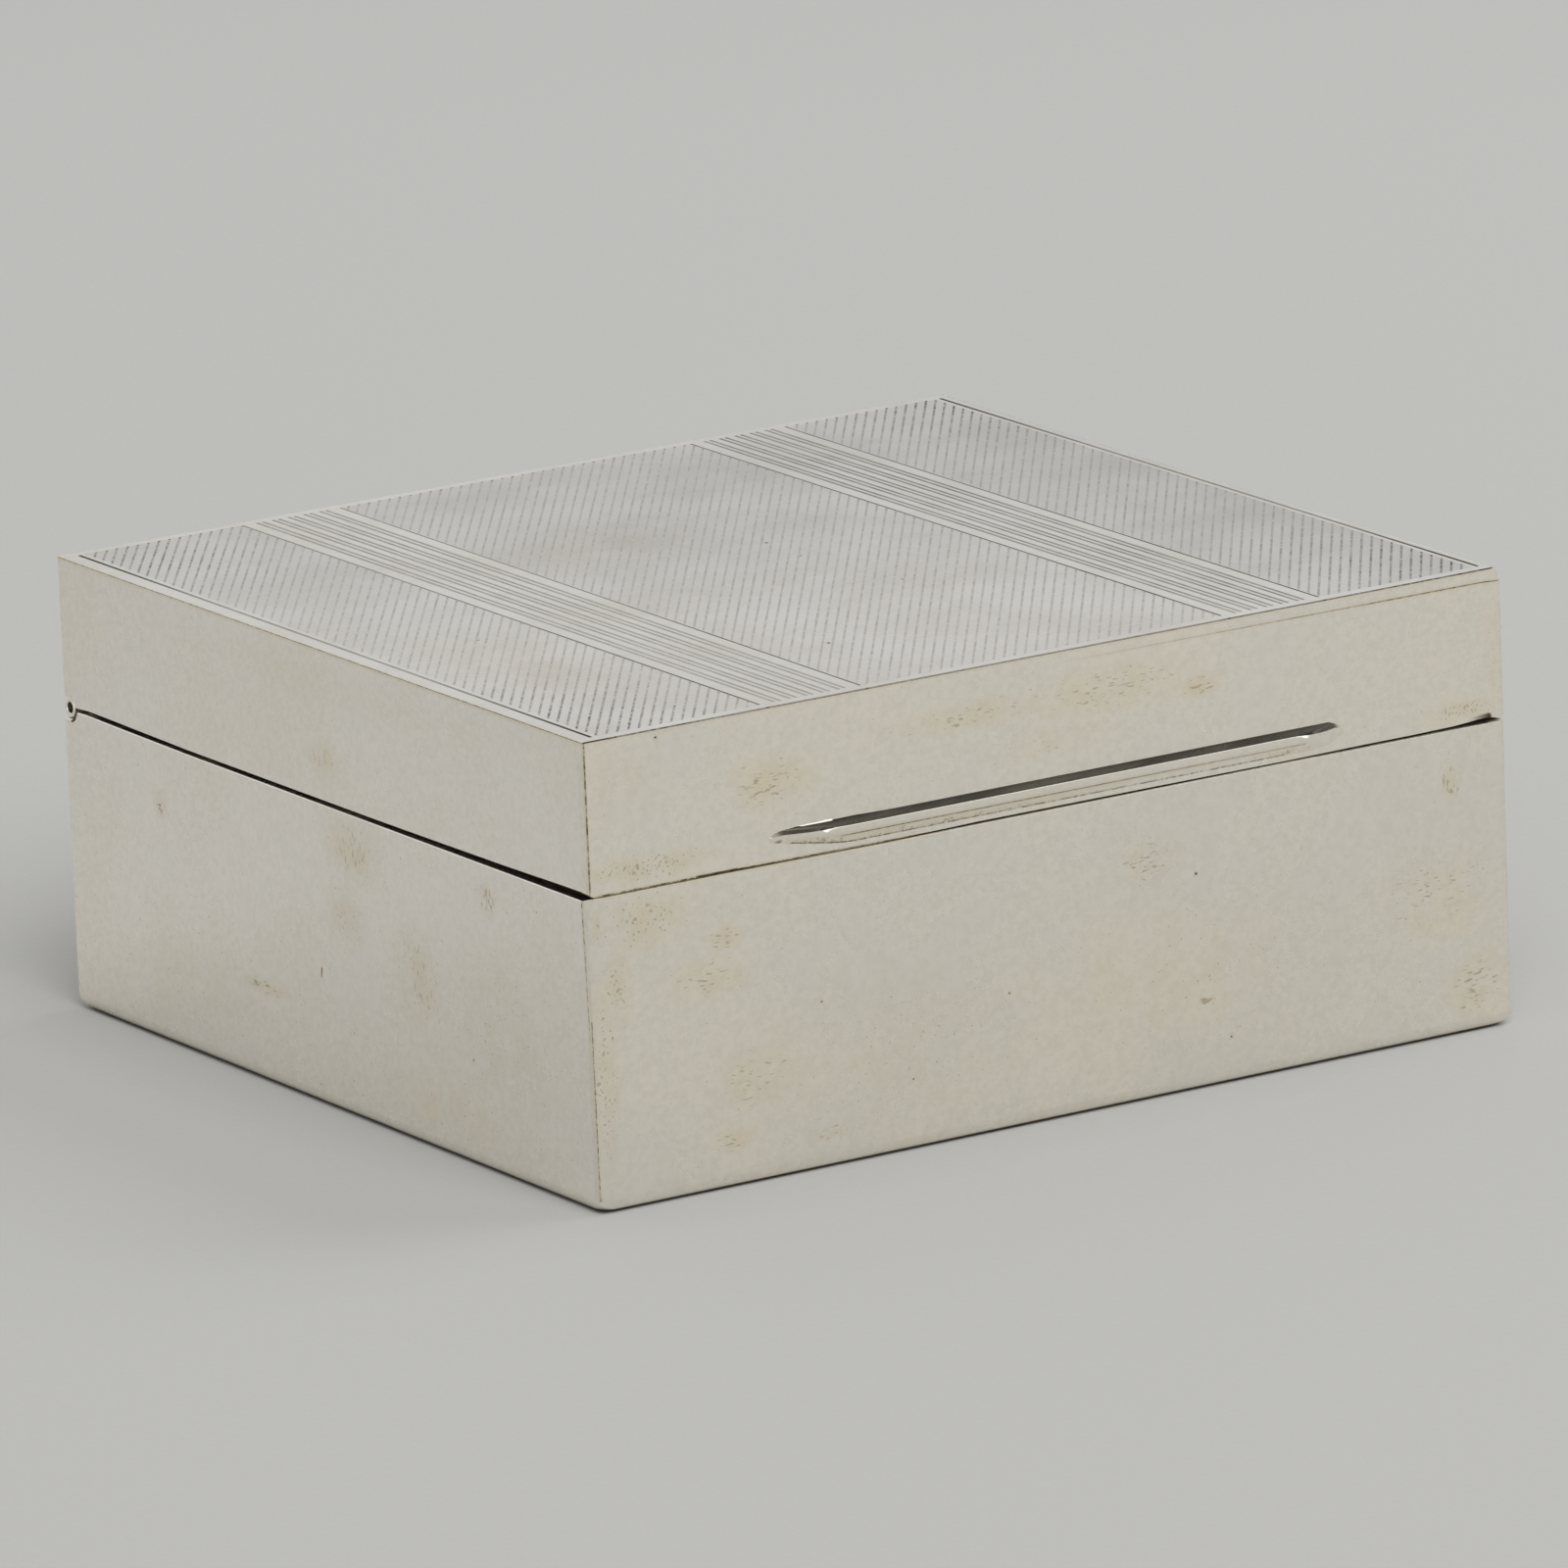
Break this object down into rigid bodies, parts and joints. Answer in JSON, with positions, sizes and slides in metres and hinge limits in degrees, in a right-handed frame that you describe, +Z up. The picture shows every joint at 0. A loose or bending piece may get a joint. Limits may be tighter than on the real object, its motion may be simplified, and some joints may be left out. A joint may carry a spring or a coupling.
{
  "type": "cigarette box",
  "caption": "Low square-cornered silver table box with an engine-turned hinged lid, a long thumb-piece and a divided cedar lining.",
  "frame": {"origin": "middle of the underside, on the surface that the box stands on", "axes": "+X along the front from left to right, +Y from the front to the hinge at the back, +Z up"},
  "size_m": [0.089, 0.0838, 0.0391],
  "materials": {
    "silver": "polished sterling silver, lightly tarnished, engine-turned on top",
    "cedar": "bare planed cedar",
    "steel_pin": "plain drawn wire"
  },
  "bodies": {
    "base": {"base_bottom_plate": "silver", "base_front_wall": "silver", "base_back_wall": "silver", "base_left_wall": "silver", "base_right_wall": "silver", "base_hinge_knuckle_2": "silver", "base_hinge_knuckle_4": "silver", "base_hinge_knuckle_6": "silver", "hinge_pin": "steel_pin", "lining_floor": "cedar", "lining_front_panel": "cedar", "lining_back_panel": "cedar", "lining_left_panel": "cedar", "lining_right_panel": "cedar", "lining_divider": "cedar"},
    "lid": {"lid_top_plate": "silver", "lid_front_wall": "silver", "lid_back_wall": "silver", "lid_left_wall": "silver", "lid_right_wall": "silver", "thumb_piece": "silver", "lid_hinge_knuckle_1": "silver", "lid_hinge_knuckle_3": "silver", "lid_hinge_knuckle_5": "silver", "lid_hinge_knuckle_7": "silver"}
  },
  "joints": [
    {"name": "lid_hinge", "type": "hinge", "parent": "base", "child": "lid", "pos_m": [0, 0.04052, 0.0262], "axis": [-1, 0, 0], "range_deg": [0, 94]}
  ]
}
